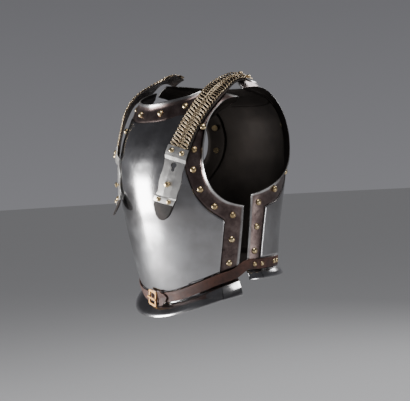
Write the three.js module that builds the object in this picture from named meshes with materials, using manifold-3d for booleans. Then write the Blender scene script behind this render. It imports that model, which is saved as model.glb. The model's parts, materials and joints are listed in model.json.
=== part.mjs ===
// A heavy-cavalry cuirass: breastplate and backplate joined by two chain-covered shoulder
// straps and a buckled waist belt.
// Millimetres, +Z up. The front of the body faces -Y and the wearer's left is +X.
// The origin is the seat between the shoulders, where the body carries the armour.
import * as THREE from 'three';
import * as BufferGeometryUtils from 'three/addons/utils/BufferGeometryUtils.js';
import Module from 'manifold-3d';

// ---- driving dimensions ----------------------------------------------------------------

const PLATE_THICKNESS = 2.6;
const FIELD_RISE = 2;          // the polished field stands this far above the border band
const STEP_WIDTH = 2;          // the slope between band and field
const GAP = 0.35;              // clearance between pieces that rest on each other
const DEGREE_LENGTH = 2.8;     // length of one degree of body angle, for even spacing

// The body is a stack of half ellipses: one half for the front, one for the back.
// z: height, halfWidth: out to the side, depth: to the front or back at the centre line.
const BREAST_SECTIONS = [
  { z: 8, halfWidth: 72, depth: 60 },
  { z: -5, halfWidth: 86, depth: 72 },
  { z: -15, halfWidth: 103, depth: 88 },
  { z: -25, halfWidth: 118, depth: 101 },
  { z: -35, halfWidth: 133, depth: 113 },
  { z: -45, halfWidth: 146, depth: 122 },
  { z: -61, halfWidth: 153, depth: 129 },
  { z: -80, halfWidth: 159, depth: 138 },
  { z: -105, halfWidth: 164, depth: 153 },
  { z: -130, halfWidth: 167, depth: 163 },
  { z: -160, halfWidth: 170, depth: 170 },
  { z: -200, halfWidth: 172, depth: 173 },
  { z: -240, halfWidth: 172, depth: 170 },
  { z: -281, halfWidth: 170, depth: 162 },
  { z: -322, halfWidth: 165, depth: 154 },
  { z: -354, halfWidth: 160, depth: 147 },
  { z: -385, halfWidth: 156, depth: 140 },
  { z: -410, halfWidth: 153, depth: 133 },
  { z: -430, halfWidth: 151, depth: 127 },
  { z: -475, halfWidth: 150, depth: 125 },
];
const BACK_SECTIONS = [
  { z: 8, halfWidth: 84, depth: 70 },
  { z: 0, halfWidth: 108, depth: 88 },
  { z: -12, halfWidth: 131, depth: 106 },
  { z: -35, halfWidth: 150, depth: 134 },
  { z: -60, halfWidth: 161, depth: 154 },
  { z: -91, halfWidth: 168, depth: 168 },
  { z: -126, halfWidth: 172, depth: 173 },
  { z: -160, halfWidth: 173, depth: 171 },
  { z: -209, halfWidth: 173, depth: 161 },
  { z: -251, halfWidth: 171, depth: 149 },
  { z: -300, halfWidth: 166, depth: 138 },
  { z: -355, halfWidth: 160, depth: 131 },
  { z: -400, halfWidth: 156, depth: 128 },
];

// Outlines are [angle, z]: the angle in degrees round the body from the centre line.
const BREAST = {
  side: -1,
  sections: BREAST_SECTIONS,
  neckEdge: [[0, -45.5], [15, -42], [30, -37], [39, -33], [49, -26], [68, -18]],
  shoulderMiddle: [76, -29],
  armEdge: [[83, -42], [66, -48], [55, -75], [52.3, -116], [51.9, -162], [53.5, -189],
    [57.5, -217], [64.7, -238], [71, -246], [77.5, -251]],
  sideEdge: [[77.5, -251], [75.5, -301], [73.8, -345], [72, -380]],
  neckBand: [[0, -80], [12, -79], [23.5, -74], [30, -69], [43, -70]],
  armBand: [[43, -70], [39.5, -116], [39.8, -166], [42.2, -197], [46.5, -231], [53, -256],
    [62.8, -278]],
  sideBand: [[62.8, -278], [60, -332], [56.7, -386]],
  lip: { neck: 6, neckEnd: 3, arm: 7, armTop: 7, side: 1.5, width: 13, shoulderWidth: 18 },
  waist: { centre: -432, rise: 47, lean: 8, groove: 4, above: 13 },
  hem: { centre: -469, rise: 41, lean: 8, flare: 22 },
};
const BACK = {
  side: 1,
  sections: BACK_SECTIONS,
  neckEdge: [[0, -20], [25, -18], [45, -12], [65, -6], [89, -2]],
  shoulderMiddle: [90, -12],
  armEdge: [[90.5, -21], [71, -22], [57.5, -37], [51, -63], [48, -95], [47, -129],
    [49.5, -162], [59.8, -190], [74.4, -213], [88, -226], [97, -230.5]],
  sideEdge: [[97, -230.5], [99.3, -297], [101.3, -360]],
  neckBand: [[0, -54], [20, -51], [38, -42], [50, -42]],
  armBand: [[50, -42], [38, -64], [35, -95], [34.5, -129], [37.5, -168], [47, -211],
    [64, -244], [82.8, -257]],
  sideBand: [[82.8, -257], [84.9, -305], [87, -356]],
  lip: { neck: 6, neckEnd: 1, arm: 10, armTop: 1, side: 1.5, width: 14, shoulderWidth: 15 },
  waist: { centre: -370, rise: 1, lean: 0, groove: 4, above: 12 },
  hem: { centre: -400, rise: 2, lean: 0, flare: 12 },
};
const PLATE_STEPS = { neck: 6, shoulder: 1, arm: 12, side: 5 };

// Rivets stand in the border band; every row is also made on the wearer's right.
const RIVET = { radius: 6.5, height: 4.6, sides: 8, gap: 0.8 };
const BREAST_RIVETS = [[12.5, -61], [34.5, -49], [51, -95], [46.1, -136], [45.6, -175],
  [49.4, -214], [57.6, -249], [69.4, -268], [67.8, -316], [65.2, -363]];
const BACK_RIVETS = [[14, -37], [33, -32], [47.5, -54], [41.5, -95], [41.5, -145],
  [52.5, -192], [73.2, -224], [90.2, -247], [91.6, -295], [93.8, -343]];

// The straps are followed from the tip at the front up over the shoulder to the back.
// inner and outer: [angle, z] of the two edges on the breastplate; lift: height over it.
const STRAP_FRONT = [
  { inner: [13.5, -264], outer: [26.5, -275], lift: 3 },
  { inner: [17, -230], outer: [31, -243], lift: 3 },
  { inner: [20, -213], outer: [34.5, -226], lift: 3 },
  { inner: [24.3, -175], outer: [38.8, -188], lift: 2.8 },
  { inner: [28.3, -130], outer: [43, -145], lift: 2.8 },
  { inner: [33, -90], outer: [47.6, -102], lift: 3.4 },
  { inner: [39.5, -56], outer: [54.5, -67], lift: 4.4 },
  { inner: [48, -33], outer: [64, -45], lift: 5.4 },
  { inner: [61, -14], outer: [77, -29], lift: 5.2 },
];
// Over the shoulder the strap hangs free, so its edges are places: [x, y, z].
const STRAP_TOP = [
  { inner: [91, -12, 2], outer: [127, -5, -9.5] },
  { inner: [91, 10, 8], outer: [129, 14, -5.5] },
  { inner: [91, 33, 4.5], outer: [129, 35, -9] },
];
// Stations along the strap count its rows, from 0 at the tip to 11 at the back.
const STATION = {
  tipRound: 0.95, tipEnd: 1.5, plateEnd: 1, clipEnd: 1.55, bracketStart: 3.72,
  bracketEnd: 4.12, leatherStart: 3.8, rearBracketStart: 10.5, end: 11,
};
const STRAP = { crown: 2, leather: 2.4, chain: 3.2, sheet: 1.6, tip: 2.2, ramp: 0.12 };
const STRAP_RIVET = { radius: 4.8, height: 3, sides: 7 };
// The right strap is let out further: it stands higher on the shoulder, its end springs off.
const LOOSE = { shoulder: 9, clip: 7, tip: 24, tipRaise: 12 };
const SCALLOP = { depth: 0.05, waves: 2 };
const KEYHOLE = { along: 3.38, radius: 5.8, slotWidth: 6.6, length: 19 };
const STUD_HOLE_RADIUS = 3.5;
const STUD = { angle: 28.5, z: -201, radius: 6, height: 4.4, neckRadius: 2.6, neckHeight: 6.4 };

const BELT = { height: 20, thickness: 2.8, lift: 2.8, steps: 24, z: -369 };
const BELT_FRONT_ANGLES = [16, 30, 44, 58, 69];
const BELT_BACK_ANGLES = [102.5, 92, 81, 71, 60];
const BELT_RIVET_ANGLES = [94.8, 87, 69.6, 63.8];
const CHAPE = { from: 1, to: 10, height: 32, thickness: 2.4 };
const BUCKLE = { angle: -5.5, width: 27, height: 32, bar: 4.5, thickness: 3, tilt: -14 };

const COLOUR = {
  steel: 0x8f9094, brass: 0xb08d4a, chain: 0x9a8355, plate: 0xcfc9bd,
  leather: 0x3a2a20, belt: 0x6b3a2a, buckle: 0xa0692f,
};

// ---- materials -------------------------------------------------------------------------

function metal(colour, roughness) {
  return new THREE.MeshStandardMaterial({ color: colour, roughness, metalness: 1 });
}

function hide(colour) {
  return new THREE.MeshStandardMaterial({ color: colour, roughness: 0.75, metalness: 0 });
}

const cuirass = new THREE.Group();

function place(name, geometry, material) {
  const mesh = new THREE.Mesh(geometry, material);
  mesh.name = name;
  cuirass.add(mesh);
  return mesh;
}

// ---- the body's surface ----------------------------------------------------------------

// Monotone cubic through the rows of a section table, falling in z.
function column(rows, key) {
  const count = rows.length;
  const slope = [];
  for (let i = 0; i < count - 1; i += 1) {
    slope.push((rows[i + 1][key] - rows[i][key]) / (rows[i + 1].z - rows[i].z));
  }
  const tangent = rows.map((row, i) => {
    if (i === 0) return slope[0];
    if (i === count - 1) return slope[count - 2];
    const a = slope[i - 1];
    const b = slope[i];
    return a * b <= 0 ? 0 : (2 * a * b) / (a + b);
  });
  return (z) => {
    let i = 0;
    while (i < count - 2 && z < rows[i + 1].z) i += 1;
    const span = rows[i + 1].z - rows[i].z;
    const t = (z - rows[i].z) / span;
    if (t < 0) return rows[0][key] + slope[0] * (z - rows[0].z);
    const t2 = t * t;
    const t3 = t2 * t;
    return (2 * t3 - 3 * t2 + 1) * rows[i][key] + (t3 - 2 * t2 + t) * span * tangent[i]
      + (3 * t2 - 2 * t3) * rows[i + 1][key] + (t3 - t2) * span * tangent[i + 1];
  };
}

// A plate's form: position and outward direction at an angle and height, raised by lift.
function bodySurface(plate) {
  const halfWidth = column(plate.sections, 'halfWidth');
  const depth = column(plate.sections, 'depth');
  const base = (angle, z) => {
    const turn = THREE.MathUtils.degToRad(angle);
    return new THREE.Vector3(
      halfWidth(z) * Math.sin(turn),
      plate.side * depth(z) * Math.cos(turn),
      z,
    );
  };
  const outward = (angle, z) => {
    const across = base(angle + 0.5, z).sub(base(angle - 0.5, z));
    const upward = base(angle, z + 0.5).sub(base(angle, z - 0.5));
    return across.cross(upward).multiplyScalar(-plate.side).normalize();
  };
  return {
    outward,
    at: (angle, z, lift) => base(angle, z).addScaledVector(outward(angle, z), lift),
  };
}

const breast = bodySurface(BREAST);
const back = bodySurface(BACK);

// ---- sheets of quads, thickened to closed solids ----------------------------------------

class Sheet {
  constructor() {
    this.points = [];
    this.quads = [];
    this.known = new Map();
  }

  vertex(point) {
    const key = point.toArray().map((value) => Math.round(value * 1000)).join(',');
    if (!this.known.has(key)) {
      this.known.set(key, this.points.length);
      this.points.push(point.clone());
    }
    return this.known.get(key);
  }

  // grid[row][column], rows going down and columns to the right as seen from outside
  addGrid(grid, flipped) {
    for (let row = 0; row < grid.length - 1; row += 1) {
      for (let col = 0; col < grid[row].length - 1; col += 1) {
        const corners = [grid[row][col], grid[row + 1][col], grid[row + 1][col + 1],
          grid[row][col + 1]].map((point) => this.vertex(point));
        this.quads.push(flipped ? corners.reverse() : corners);
      }
    }
  }

  normals() {
    const sum = this.points.map(() => new THREE.Vector3());
    for (const quad of this.quads) {
      const [a, b, c, d] = quad.map((id) => this.points[id]);
      const normal = c.clone().sub(a).cross(d.clone().sub(b));
      quad.forEach((id) => sum[id].add(normal));
    }
    return sum.map((vector) => vector.normalize());
  }

  // The sheet is the outer face; thickness(point) says how far in the inner face lies.
  thicken(thickness) {
    const count = this.points.length;
    const normals = this.normals();
    const inner = this.points.map((point, i) => point.clone()
      .addScaledVector(normals[i], -thickness(point)));
    const faces = [];
    const edges = new Map();
    for (const quad of this.quads) {
      const [a, b, c, d] = quad;
      faces.push(a, b, c, a, c, d);
      faces.push(a + count, c + count, b + count, a + count, d + count, c + count);
      quad.forEach((id, i) => edges.set(`${id},${quad[(i + 1) % 4]}`, true));
    }
    for (const key of edges.keys()) {
      const [a, b] = key.split(',').map(Number);
      if (!edges.has(`${b},${a}`)) {
        faces.push(b, a, a + count, b, a + count, b + count);
      }
    }
    const geometry = new THREE.BufferGeometry();
    const numbers = [...this.points, ...inner].flatMap((point) => point.toArray());
    geometry.setAttribute('position', new THREE.Float32BufferAttribute(numbers, 3));
    geometry.setIndex(faces);
    return geometry;
  }
}

function mirrored(grid) {
  return grid.map((row) => row.map((point) => new THREE.Vector3(-point.x, point.y, point.z)));
}

// Even steps along an outline given as [angle, z] rows.
function spaced(rows, steps) {
  const corners = rows.map(([angle, z]) => new THREE.Vector3(angle * DEGREE_LENGTH, z, 0));
  const curve = new THREE.CatmullRomCurve3(corners, false, 'centripetal');
  return curve.getSpacedPoints(steps).map((point) => [point.x / DEGREE_LENGTH, point.y]);
}

function mix(a, b, t) {
  return [a[0] + (b[0] - a[0]) * t, a[1] + (b[1] - a[1]) * t];
}

// A patch between four edge curves that share their corners.
function fillPatch(top, bottom, left, right) {
  return left.map((leftPoint, row) => top.map((topPoint, col) => {
    const v = row / (left.length - 1);
    const u = col / (top.length - 1);
    const rightPoint = right[row];
    const bottomPoint = bottom[col];
    return [0, 1].map((k) => (1 - u) * leftPoint[k] + u * rightPoint[k]
      + (1 - v) * topPoint[k] + v * bottomPoint[k]
      - (1 - u) * (1 - v) * top[0][k] - u * (1 - v) * top[top.length - 1][k]
      - (1 - u) * v * bottom[0][k] - u * v * bottom[bottom.length - 1][k]);
  }));
}

// ---- breastplate and backplate ---------------------------------------------------------

// A line that is low at the centre and rises to both sides, a little more on the left.
function risingLine({ centre, rise, lean }, angle) {
  const sine = Math.sin(THREE.MathUtils.degToRad(angle));
  return centre + rise * sine ** 2 + lean * sine;
}

// The rows of the border from the free edge to the raised field, at each outline point.
function borderRows(plate, surface, sign) {
  const { neck, shoulder, arm, side } = PLATE_STEPS;
  const { lip, waist } = plate;
  const corner = plate.armEdge[0];
  const neckEnd = plate.neckEdge[plate.neckEdge.length - 1];
  const outer = [
    ...spaced(plate.neckEdge, neck),
    ...spaced([neckEnd, plate.shoulderMiddle], shoulder).slice(1),
    ...spaced([plate.shoulderMiddle, corner], shoulder).slice(1),
    ...spaced(plate.armEdge, arm).slice(1),
    ...spaced(plate.sideEdge, side).slice(1),
  ];
  const inner = [
    ...spaced(plate.neckBand, neck + shoulder),
    ...spaced(plate.armBand, shoulder + arm).slice(1),
    ...spaced(plate.sideBand, side).slice(1),
  ];
  const last = outer.length - 1;
  for (const path of [outer, inner]) {
    path[last][1] = risingLine(waist, sign * path[last][0]) + waist.above;
  }
  const lipAt = (i) => {
    if (i <= neck) {
      const height = THREE.MathUtils.lerp(lip.neck, lip.neckEnd, (i / neck) ** 2);
      return { height, width: lip.width };
    }
    if (i <= neck + shoulder) return { height: Math.min(lip.side, lip.neckEnd), width: lip.width };
    const along = (i - neck - 2 * shoulder) / arm;
    if (along > 1) return { height: lip.side, width: lip.width * 0.5 };
    const { smoothstep } = THREE.MathUtils;
    const fade = smoothstep(along, 0.7, 1);
    const crest = lip.armTop + (lip.arm - lip.armTop) * smoothstep(along, 0, 0.25);
    return {
      height: crest + (lip.side - crest) * fade,
      width: THREE.MathUtils.lerp(lip.shoulderWidth, lip.width, Math.min(1, along * 3)),
    };
  };
  const rows = [[], [], [], [], []];
  outer.forEach((edge, i) => {
    const field = inner[i];
    const width = surface.at(...edge, 0).distanceTo(surface.at(...field, 0));
    const { height, width: lipWidth } = lipAt(i);
    const stations = [
      { from: 0, lift: height },
      { from: lipWidth * 0.45, lift: height * 0.35 },
      { from: lipWidth, lift: 0 },
      { from: width - STEP_WIDTH, lift: 0 },
      { from: width, lift: FIELD_RISE },
    ];
    stations.forEach(({ from, lift }, k) => {
      rows[k].push({ where: mix(edge, field, from / width), lift });
    });
  });
  return { rows, inner };
}

// One half of a plate, as grids of points: its border, its raised field and its skirt.
function halfPlate(plate, surface, sign) {
  const { neck, shoulder } = PLATE_STEPS;
  const { waist, hem } = plate;
  const { rows: border, inner } = borderRows(plate, surface, sign);
  const turnAt = neck + shoulder;
  const top = inner.slice(0, turnAt + 1);
  const right = inner.slice(turnAt);
  const waistTop = (angle) => risingLine(waist, sign * angle) + waist.above;
  const topEnd = top[0];
  const left = right.map((point, i) => {
    const t = i / (right.length - 1);
    return [0, THREE.MathUtils.lerp(topEnd[1], waistTop(0), t)];
  });
  const cornerAngle = right[right.length - 1][0];
  const bottom = top.map((point, i) => {
    const angle = (cornerAngle * i) / (top.length - 1);
    return [angle, waistTop(angle)];
  });
  const field = fillPatch(top, bottom, left, right)
    .map((row) => row.map((where) => ({ where, lift: FIELD_RISE })));

  const last = border[0].length - 1;
  const across = [
    ...bottom.map((where) => ({ where, lift: FIELD_RISE })),
    ...[3, 2, 1, 0].map((k) => border[k][last]),
  ];
  const skirt = [across];
  const stations = [
    { below: STEP_WIDTH, lift: 0 },
    { below: waist.above, lift: -waist.groove },
    { below: 2 * waist.above, lift: -1 },
  ];
  for (const { below, lift } of stations) {
    skirt.push(across.map(({ where: [angle, z] }) => ({ where: [angle, z - below], lift })));
  }
  for (const t of [0.35, 0.7, 1]) {
    skirt.push(across.map(({ where: [angle, z] }) => ({
      where: [angle, THREE.MathUtils.lerp(z - 2 * waist.above, risingLine(hem, sign * angle), t)],
      lift: -1 + (hem.flare + 1) * Math.sin((t * Math.PI) / 2),
    })));
  }

  return [border, field, skirt].map((grid) => {
    const points = grid.map((row) => row.map(({ where, lift }) => surface.at(...where, lift)));
    return sign < 0 ? mirrored(points) : points;
  });
}

function plateSheet(plate, surface) {
  const sheet = new Sheet();
  for (const sign of [1, -1]) {
    for (const grid of halfPlate(plate, surface, sign)) {
      sheet.addGrid(grid, plate.side * sign > 0);
    }
  }
  return sheet;
}

function makePlate(name, plate, surface) {
  const geometry = plateSheet(plate, surface).thicken(() => PLATE_THICKNESS);
  return place(name, geometry, metal(COLOUR.steel, 0.25));
}

const breastplate = makePlate('breastplate', BREAST, breast);
const backplate = makePlate('backplate', BACK, back);

// ---- rivets ----------------------------------------------------------------------------

// A domed head on a flat base, its axis along +Y.
function domeGeometry(radius, height, sides) {
  const profile = [[0, 0], [radius, 0], [radius * 0.8, height * 0.62], [0, height]];
  return new THREE.LatheGeometry(profile.map(([x, y]) => new THREE.Vector2(x, y)), sides);
}

// How far along the outward direction the solid reaches under a round base at the point.
function reach(mesh, point, outward, radius) {
  const across = new THREE.Vector3(0, 0, 1).cross(outward).normalize();
  const up = outward.clone().cross(across);
  const spots = [point.clone()];
  for (let i = 0; i < 24; i += 1) {
    const turn = (i * Math.PI) / 6;
    const distance = i < 12 ? radius : radius / 2;
    spots.push(point.clone().addScaledVector(across, distance * Math.cos(turn))
      .addScaledVector(up, distance * Math.sin(turn)));
  }
  const heights = spots.map((spot) => {
    const start = spot.clone().addScaledVector(outward, 30);
    const hit = new THREE.Raycaster(start, outward.clone().negate()).intersectObject(mesh)[0];
    return hit ? 30 - hit.distance : -Infinity;
  });
  return Math.max(...heights);
}

function stand(mesh, point, outward) {
  mesh.position.copy(point);
  mesh.quaternion.setFromUnitVectors(new THREE.Vector3(0, 1, 0), outward);
}

function makeRivets(prefix, places, surface, plateMesh) {
  places.forEach(([angle, z], i) => {
    for (const [sideName, sign] of [['left', 1], ['right', -1]]) {
      const outward = surface.outward(sign * angle, z);
      const point = surface.at(sign * angle, z, 0);
      const base = reach(plateMesh, point, outward, RIVET.radius) + RIVET.gap;
      const rivet = place(
        `${prefix}_rivet_${i + 1}_${sideName}`,
        domeGeometry(RIVET.radius, RIVET.height, RIVET.sides),
        metal(COLOUR.brass, 0.3),
      );
      stand(rivet, point.addScaledVector(outward, base), outward);
    }
  });
}

makeRivets('breastplate', BREAST_RIVETS, breast, breastplate);
makeRivets('backplate', BACK_RIVETS, back, backplate);

// ---- shoulder straps -------------------------------------------------------------------

// A strap as a sheet with two coordinates: along, in stations, and across, 0 to 1.
function strapPath(sign) {
  const loose = sign < 0 ? LOOSE : { shoulder: 0, clip: 0, tip: 0, tipRaise: 0 };
  const frontExtra = [loose.tip, loose.clip, loose.clip * 0.3, 0, ...[0.3, 0.7, 1, 1, 1]
    .map((share) => share * loose.shoulder)];
  const topExtra = [1, 1, 0.5];
  const edge = (key) => {
    const front = STRAP_FRONT.map((row, i) => {
      const [angle, z] = row[key];
      return breast.at(angle, i === 0 ? z + loose.tipRaise : z, row.lift + frontExtra[i]);
    });
    const top = STRAP_TOP.map((row, i) => new THREE.Vector3(...row[key])
      .add(new THREE.Vector3(0, 0, loose.shoulder * topExtra[i])));
    const points = [...front, ...top].map((point) => point.setX(point.x * sign));
    return new THREE.CatmullRomCurve3(points, false, 'centripetal');
  };
  const inner = edge('inner');
  const outer = edge('outer');
  return (along, across, lift) => {
    const t = along / STATION.end;
    const near = inner.getPoint(t);
    const far = outer.getPoint(t);
    const tangent = inner.getTangent(t).add(outer.getTangent(t));
    const outward = far.clone().sub(near).cross(tangent).multiplyScalar(sign).normalize();
    const rise = lift + STRAP.crown * 4 * across * (1 - across);
    return { point: near.lerp(far, across).addScaledVector(outward, rise), outward };
  };
}

// A closed strip of the strap between two stations, its outer face at lift(along).
function strapStrip(path, sign, { from, to, steps, columns, edges, lift, thickness }) {
  const grid = [];
  for (let row = 0; row <= steps; row += 1) {
    const along = to + ((from - to) * row) / steps;
    const [first, last] = edges(along);
    const line = [];
    for (let col = 0; col <= columns; col += 1) {
      const across = first + ((last - first) * col) / columns;
      line.push(path(along, across, lift(along)).point);
    }
    grid.push(line);
  }
  const sheet = new Sheet();
  sheet.addGrid(grid, sign < 0);
  return sheet.thicken(() => thickness);
}

const wasm = await Module();
wasm.setup();

function toSolid(geometry) {
  const bare = geometry.clone();
  bare.deleteAttribute('normal');
  bare.deleteAttribute('uv');
  const merged = BufferGeometryUtils.mergeVertices(bare, 1e-4);
  return new wasm.Manifold(new wasm.Mesh({
    numProp: 3,
    vertProperties: new Float32Array(merged.attributes.position.array),
    triVerts: new Uint32Array(merged.index.array),
  }));
}

function toGeometry(solid) {
  const { vertProperties, triVerts } = solid.getMesh();
  const geometry = new THREE.BufferGeometry();
  geometry.setAttribute('position', new THREE.BufferAttribute(vertProperties, 3));
  geometry.setIndex(new THREE.BufferAttribute(triVerts, 1));
  return geometry;
}

function turned(geometry, point, outward, up) {
  const right = up.clone().cross(outward).normalize();
  const top = outward.clone().cross(right);
  const frame = new THREE.Matrix4().makeBasis(right, top, outward).setPosition(point);
  return geometry.applyMatrix4(frame);
}

function keyholeCutter() {
  const shape = new THREE.Shape();
  const half = KEYHOLE.slotWidth / 2;
  const meet = Math.asin(half / KEYHOLE.radius);
  shape.absarc(0, 0, KEYHOLE.radius, -Math.PI / 2 + meet, 1.5 * Math.PI - meet, false);
  shape.lineTo(-half, -KEYHOLE.length + KEYHOLE.radius + half);
  shape.absarc(0, -KEYHOLE.length + KEYHOLE.radius + half, half, Math.PI, 2 * Math.PI, false);
  shape.closePath();
  const depth = 16;
  const geometry = new THREE.ExtrudeGeometry(shape, { depth, bevelEnabled: false, curveSegments: 5 });
  return geometry.translate(0, 0, -depth / 2);
}

// A dome whose axis is Z, sunk a little so that it fuses with what it is riveted to.
function fusedDome({ radius, height, sides }) {
  return domeGeometry(radius, height + 0.6, sides).rotateX(Math.PI / 2).translate(0, 0, -0.6);
}

function riveted(solid, path, spots, lift) {
  let joined = solid;
  for (const [along, across] of spots) {
    const { point, outward } = path(along, across, lift(along));
    const up = path(along + 0.1, across, lift(along)).point.sub(point).normalize();
    joined = joined.add(toSolid(turned(fusedDome(STRAP_RIVET), point, outward, up)));
  }
  return joined;
}

const CHAIN_LIFT = STRAP.leather + GAP + STRAP.chain;
const BRACKET_LIFT = CHAIN_LIFT + GAP + STRAP.sheet;
const PLATE_LIFT = GAP + STRAP.sheet;
const CLIP_LIFT = STRAP.tip + 2 * GAP + STRAP.sheet;

function strapLeather(path, sign) {
  return strapStrip(path, sign, {
    from: STATION.leatherStart, to: STATION.end, steps: 17, columns: 2,
    edges: () => [0, 1], lift: () => STRAP.leather, thickness: STRAP.leather,
  });
}

function strapChain(path, sign) {
  return strapStrip(path, sign, {
    from: STATION.leatherStart, to: STATION.end, steps: 17, columns: 2,
    edges: () => [0.02, 0.93], lift: () => CHAIN_LIFT, thickness: STRAP.chain,
  });
}

// The tip narrows to a round end.
function strapTip(path, sign) {
  const edges = (along) => {
    const left = Math.min(1, (along + 0.02) / STATION.tipRound);
    const half = 0.49 * Math.sqrt(1 - (1 - left) ** 2);
    return [0.5 - half, 0.5 + half];
  };
  return strapStrip(path, sign, {
    from: 0, to: STATION.tipEnd, steps: 10, columns: 2,
    edges, lift: () => STRAP.tip, thickness: STRAP.tip,
  });
}

// The end plate: clipped over the tip, scalloped, keyholed and folded over the chain's end.
function strapPlate(path, sign) {
  const { plateEnd, clipEnd, bracketStart, bracketEnd } = STATION;
  const smooth = THREE.MathUtils.smoothstep;
  const edges = (along) => {
    const t = THREE.MathUtils.clamp((along - clipEnd) / (bracketStart - clipEnd), 0, 1);
    const bite = SCALLOP.depth * (0.5 - 0.5 * Math.cos(2 * Math.PI * SCALLOP.waves * t));
    return [bite, 1 - bite];
  };
  const lift = (along) => PLATE_LIFT
    + (BRACKET_LIFT - PLATE_LIFT) * smooth(along, bracketStart - STRAP.ramp, bracketStart)
    + (CLIP_LIFT - PLATE_LIFT) * (1 - smooth(along, clipEnd, clipEnd + STRAP.ramp));
  let plate = toSolid(strapStrip(path, sign, {
    from: plateEnd, to: bracketEnd, steps: 22, columns: 3, edges, lift, thickness: STRAP.sheet,
  }));
  const { point, outward } = path(KEYHOLE.along, 0.5, 0);
  const up = path(KEYHOLE.along + 0.1, 0.5, 0).point.sub(point).normalize();
  plate = plate.subtract(toSolid(turned(keyholeCutter(), point, outward, up)));
  const turn = sign * STUD.angle;
  const studHole = new THREE.CylinderGeometry(STUD_HOLE_RADIUS, STUD_HOLE_RADIUS, 40, 10)
    .applyQuaternion(new THREE.Quaternion()
      .setFromUnitVectors(new THREE.Vector3(0, 1, 0), breast.outward(turn, STUD.z)));
  studHole.translate(...breast.at(turn, STUD.z, 0).toArray());
  plate = plate.subtract(toSolid(studHole));
  const bracketMiddle = (bracketStart + bracketEnd) / 2;
  const clipMiddle = (plateEnd + clipEnd) / 2;
  const spots = [[bracketMiddle, 0.25], [bracketMiddle, 0.75], [clipMiddle, 0.25], [clipMiddle, 0.75]];
  return toGeometry(riveted(plate, path, spots, lift));
}

function rearBracket(path, sign) {
  const { rearBracketStart, end } = STATION;
  const lift = () => BRACKET_LIFT;
  const strip = toSolid(strapStrip(path, sign, {
    from: rearBracketStart, to: end, steps: 2, columns: 3,
    edges: () => [-0.02, 1.02], lift, thickness: STRAP.sheet,
  }));
  const middle = (rearBracketStart + end) / 2;
  return toGeometry(riveted(strip, path, [[middle, 0.2], [middle, 0.8]], lift));
}

// The stud on the breastplate that the end plate hooks over.
function studGeometry() {
  const { radius, height, neckRadius, neckHeight } = STUD;
  const profile = [[0, 0], [neckRadius, 0], [neckRadius, neckHeight], [radius, neckHeight],
    [radius * 0.8, neckHeight + height * 0.6], [0, neckHeight + height]];
  return new THREE.LatheGeometry(profile.map(([x, y]) => new THREE.Vector2(x, y)), 10);
}

for (const [sideName, sign] of [['left', 1], ['right', -1]]) {
  const path = strapPath(sign);
  place(`strap_leather_${sideName}`, strapLeather(path, sign), hide(COLOUR.leather));
  place(`strap_chain_${sideName}`, strapChain(path, sign), metal(COLOUR.chain, 0.4));
  place(`strap_tip_${sideName}`, strapTip(path, sign), hide(COLOUR.leather));
  place(`strap_plate_${sideName}`, strapPlate(path, sign), metal(COLOUR.plate, 0.25));
  place(`strap_bracket_${sideName}`, rearBracket(path, sign), metal(COLOUR.brass, 0.35));
}

// ---- waist belt and buckle -------------------------------------------------------------

// A belt half as a sheet: along 0 (buckle) to 1 (back), height off its middle line, and lift
// off the plates. It lies in both plates' waists and crosses the gap between them.
function beltPath(sign, startAngle) {
  const stops = [startAngle, ...BELT_FRONT_ANGLES].map((angle) => {
    const turn = sign * angle;
    const z = risingLine(BREAST.waist, turn);
    return { place: breast.at(turn, z, BELT.lift), outward: breast.outward(turn, z) };
  }).concat(BELT_BACK_ANGLES.map((angle) => {
    const turn = sign * angle;
    return { place: back.at(turn, BELT.z, BELT.lift), outward: back.outward(turn, BELT.z) };
  }));
  const reachOut = 10;
  const inside = new THREE.CatmullRomCurve3(stops.map((stop) => stop.place), false, 'centripetal');
  const outside = new THREE.CatmullRomCurve3(stops.map((stop) => stop.place.clone()
    .addScaledVector(stop.outward, reachOut)), false, 'centripetal');
  return (along, height, lift) => {
    const point = inside.getPoint(along);
    const outward = outside.getPoint(along).sub(point).normalize();
    const up = outward.clone().cross(inside.getTangent(along)).multiplyScalar(sign).normalize();
    point.addScaledVector(up, height).addScaledVector(outward, lift);
    return { point, outward, up };
  };
}

// The station on the belt that lies at an angle round the back.
function backStation(angle) {
  const first = BELT_FRONT_ANGLES.length + 1;
  const angles = BELT_BACK_ANGLES;
  let i = 0;
  while (i < angles.length - 2 && angle < angles[i + 1]) i += 1;
  const part = (angle - angles[i]) / (angles[i + 1] - angles[i]);
  return (first + i + part) / (first + angles.length - 1);
}

function beltHalf(sign, startAngle) {
  const path = beltPath(sign, startAngle);
  const half = BELT.height / 2;
  const grid = [half, -half].map((height) => {
    const line = [];
    for (let i = 0; i <= BELT.steps; i += 1) {
      line.push(path(i / BELT.steps, height, BELT.thickness).point);
    }
    return line;
  });
  const sheet = new Sheet();
  sheet.addGrid(grid, sign < 0);
  let belt = toSolid(sheet.thicken(() => BELT.thickness));
  for (const angle of BELT_RIVET_ANGLES) {
    const { point, outward, up } = path(backStation(angle), 0, BELT.thickness);
    belt = belt.add(toSolid(turned(fusedDome(STRAP_RIVET), point, outward, up)));
  }
  return toGeometry(belt);
}

// A leather tab stitched over the left belt's end beside the buckle, cut to a point.
function chapeGeometry() {
  const { from, to, height, thickness } = CHAPE;
  const outline = [{ t: 0, size: 1 }, { t: 0.4, size: 0.96 }, { t: 0.55, size: 0.7 },
    { t: 0.72, size: 0.62 }, { t: 1, size: 0.06 }];
  const lift = BELT.lift + BELT.thickness + GAP + thickness;
  const grid = [0.5, 0, -0.5].map((share) => outline.map(({ t, size }) => {
    const angle = THREE.MathUtils.lerp(from, to, t);
    const z = risingLine(BREAST.waist, angle);
    return breast.at(angle, z + share * height * size, lift);
  }));
  const sheet = new Sheet();
  sheet.addGrid(grid, false);
  return sheet.thicken(() => thickness);
}

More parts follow.
